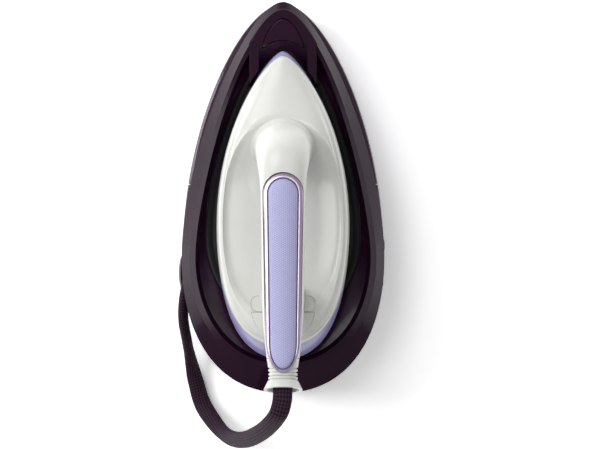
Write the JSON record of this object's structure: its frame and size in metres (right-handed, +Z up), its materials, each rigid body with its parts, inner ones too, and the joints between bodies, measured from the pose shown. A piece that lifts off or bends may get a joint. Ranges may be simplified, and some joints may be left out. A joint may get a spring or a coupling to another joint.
{
  "type": "steam iron with base station",
  "caption": "Steam iron resting on its base station, joined to it by a braided steam hose, with a pull-out water tank, carrying lock and boiler drain.",
  "frame": {"origin": "on the table under the middle of the base station", "axes": "+Z up, +Y towards the nose, +X to the right of a user standing behind the heel"},
  "size_m": [0.1971, 0.4155, 0.24],
  "materials": {
    "glossy_purple": "glossy dark aubergine plastic",
    "smoky_tank": "translucent smoky plastic",
    "dark_plastic": "matte near-black plastic",
    "white_plastic": "glossy warm white plastic",
    "lavender_plastic": "satin lavender plastic",
    "mauve_ring": "satin mauve metallic",
    "grip_rubber": "dotted soft-touch lavender",
    "black_rubber": "matte black rubber",
    "grey_silicone": "matte grey silicone",
    "steel": "brushed steel",
    "cast_aluminium": "as-cast aluminium",
    "brass": "satin brass",
    "board_green": "green circuit board",
    "hose_braid": "dark aubergine braided sleeve",
    "light_lens": "clear lens"
  },
  "bodies": {
    "base": {"base_plate": "dark_plastic", "base_body": "dark_plastic", "pump": "dark_plastic", "suction_pipe": "grey_silicone", "pressure_pipe": "grey_silicone", "boiler": "cast_aluminium", "circuit_board": "board_green", "control_panel": "glossy_purple", "steam_light": "light_lens", "descale_light": "light_lens", "mains_inlet": "black_rubber", "winding_wall": "dark_plastic", "groove_flange": "dark_plastic", "collar": "glossy_purple", "iron_tray": "black_rubber", "rest_pad_left": "grey_silicone", "rest_pad_right": "grey_silicone", "rest_pad_front": "grey_silicone", "lock_bracket": "glossy_purple", "lock_spring": "steel", "hose_winding": "hose_braid", "hose_socket": "dark_plastic", "steam_riser": "grey_silicone", "foot_front_left": "black_rubber", "foot_front_right": "black_rubber", "foot_rear_left": "black_rubber", "foot_rear_right": "black_rubber", "base_screw_1": "steel", "base_screw_2": "steel", "base_screw_3": "steel", "base_screw_4": "steel"},
    "iron": {"soleplate": "steel", "steam_chamber": "cast_aluminium", "thermostat": "brass", "chamber_screw_1": "steel", "chamber_screw_2": "steel", "heat_skirt": "dark_plastic", "lower_shell": "lavender_plastic", "body_shell": "white_plastic", "heel_cover": "white_plastic", "handle_shell": "white_plastic", "hose_boot": "white_plastic", "trim_ring": "mauve_ring", "grip_pad": "grip_rubber", "trigger_spring": "steel", "microswitch": "dark_plastic", "steam_tube": "grey_silicone", "steam_hose": "hose_braid"},
    "lock_button": {"lock_button": "glossy_purple"},
    "lock_latch": {"lock_latch": "dark_plastic"},
    "drain_plug": {"drain_plug": "black_rubber"},
    "drain_knob": {"drain_knob": "dark_plastic"},
    "water_tank": {"water_tank": "smoky_tank", "tank_valve": "black_rubber"},
    "tank_filler_door": {"tank_filler_door": "smoky_tank"},
    "power_button": {"power_button": "glossy_purple"},
    "eco_button": {"eco_button": "glossy_purple"},
    "steam_trigger": {"steam_trigger": "lavender_plastic"}
  },
  "joints": [
    {"name": "iron_lift", "type": "slide", "parent": "base", "child": "iron", "axis": [0, 0, 1], "range_m": [0, 0.1], "deforming": ["steam_hose"]},
    {"name": "lock_button", "type": "slide", "parent": "base", "child": "lock_button", "axis": [0, 0, -1], "range_m": [0, 0.004], "stiffness_N_per_m": 400, "springref_m": -0.001, "deforming": ["lock_spring"]},
    {"name": "lock_latch", "type": "slide", "parent": "base", "child": "lock_latch", "axis": [0, -1, 0], "range_m": [0, 0.007]},
    {"name": "drain_plug", "type": "slide", "parent": "base", "child": "drain_plug", "axis": [-1, 0, 0], "range_m": [0, 0.035]},
    {"name": "drain_knob", "type": "hinge", "parent": "drain_plug", "child": "drain_knob", "pos_m": [-0.0953, -0.072, 0.026], "axis": [-1, 0, 0], "range_deg": [0, 90]},
    {"name": "water_tank", "type": "slide", "parent": "base", "child": "water_tank", "axis": [0, 1, 0], "range_m": [0, 0.12]},
    {"name": "tank_filler_door", "type": "hinge", "parent": "water_tank", "child": "tank_filler_door", "pos_m": [0.07858, 0.05103, 0.0185], "axis": [-0.2391, 0.971, 0], "range_deg": [0, 80]},
    {"name": "power_button", "type": "slide", "parent": "base", "child": "power_button", "axis": [-1, 0, 0], "range_m": [0, 0.0015], "stiffness_N_per_m": 400, "springref_m": -0.0005},
    {"name": "eco_button", "type": "slide", "parent": "base", "child": "eco_button", "axis": [-1, 0, 0], "range_m": [0, 0.0015], "stiffness_N_per_m": 400, "springref_m": -0.0005},
    {"name": "steam_trigger", "type": "hinge", "parent": "iron", "child": "steam_trigger", "pos_m": [0, 0.01391, 0.20033], "axis": [-1, 0, 0], "range_deg": [0, 8], "stiffness_Nm_per_rad": 0.2, "springref_deg": -5.73, "deforming": ["trigger_spring"]}
  ],
  "couplings": [
    {"joint": "lock_latch", "follows": "lock_button", "ratio": 1.75}
  ]
}
